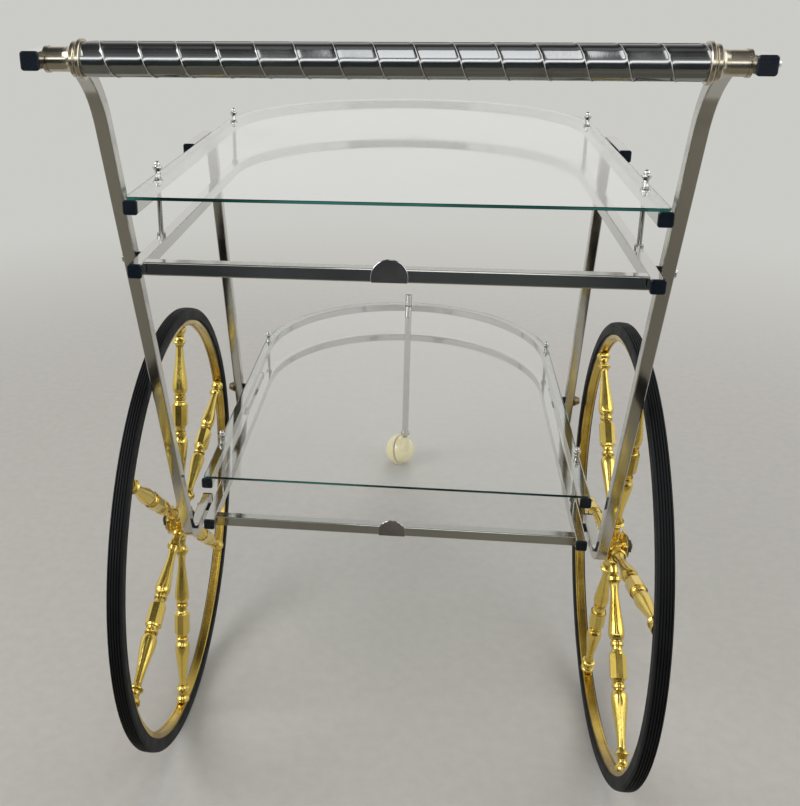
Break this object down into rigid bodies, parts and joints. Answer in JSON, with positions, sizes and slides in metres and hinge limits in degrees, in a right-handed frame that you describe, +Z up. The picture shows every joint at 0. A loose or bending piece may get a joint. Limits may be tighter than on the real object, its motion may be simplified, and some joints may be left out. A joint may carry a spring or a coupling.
{
  "type": "bar cart",
  "caption": "Wheeled serving cart with glass shelves on D-shaped tube rails, tall spoked side wheels, a ball caster at the far end and a round push handle.",
  "frame": {"origin": "on the floor, under the centre of the whole cart's bounding box", "axes": "+Z up from the floor; +Y from the handle end to the caster end; +X to the right seen from the handle"},
  "size_m": [0.4826, 0.911, 0.738],
  "materials": {
    "chrome": "polished",
    "nickel": "warm polished nickel",
    "brass": "polished",
    "bronze": "dark bronze",
    "tyre": "satin",
    "cap": "satin black",
    "glass": "clear, green edge",
    "ivory": "glossy ivory"
  },
  "bodies": {
    "frame": {"front_leg_left": "chrome", "front_leg_right": "chrome", "rear_leg_left": "chrome", "rear_leg_right": "chrome", "upper_shelf_top_rail": "chrome", "upper_shelf_bottom_rail": "chrome", "upper_shelf_crossbar": "chrome", "upper_shelf_badge": "chrome", "upper_shelf_glass": "glass", "upper_shelf_rods": "chrome", "upper_shelf_finials": "chrome", "lower_shelf_top_rail": "chrome", "lower_shelf_bottom_rail": "chrome", "lower_shelf_crossbar": "chrome", "lower_shelf_badge": "chrome", "lower_shelf_glass": "glass", "lower_shelf_rods": "chrome", "lower_shelf_finials": "chrome", "frame_screws": "chrome", "brace_bolts": "bronze", "frame_spacers": "cap", "rail_end_caps": "cap", "leg_end_caps": "cap", "handle_core": "chrome", "handle_grip": "chrome", "handle_collars": "nickel", "handle_ferrules": "nickel", "handle_screws": "chrome", "axle_pins": "chrome", "axle_washers": "bronze", "axle_nuts": "bronze", "caster_post": "chrome", "caster_post_screws": "chrome", "caster_post_collar": "chrome"},
    "left_wheel": {"left_wheel_hub": "brass", "left_wheel_spokes": "brass", "left_wheel_rim": "brass", "left_wheel_tyre": "tyre"},
    "right_wheel": {"right_wheel_hub": "brass", "right_wheel_spokes": "brass", "right_wheel_rim": "brass", "right_wheel_tyre": "tyre"},
    "caster_swivel": {"caster_hood": "ivory", "caster_stem": "bronze", "caster_axle": "chrome"},
    "caster_wheel": {"caster_wheel": "ivory"}
  },
  "joints": [
    {"name": "left_wheel_spin", "type": "hinge", "parent": "frame", "child": "left_wheel", "pos_m": [-0.22215, -0.13547, 0.225], "axis": [1, 0, 0], "continuous": true},
    {"name": "right_wheel_spin", "type": "hinge", "parent": "frame", "child": "right_wheel", "pos_m": [0.22215, -0.13547, 0.225], "axis": [1, 0, 0], "continuous": true},
    {"name": "caster_swivel_turn", "type": "hinge", "parent": "frame", "child": "caster_swivel", "pos_m": [0, 0.41623, 0.06], "axis": [0, 0, 1], "continuous": true},
    {"name": "caster_wheel_spin", "type": "hinge", "parent": "caster_swivel", "child": "caster_wheel", "pos_m": [-0.0064, 0.43047, 0.025], "axis": [-0.8792, 0.4288, -0.2079], "continuous": true}
  ]
}
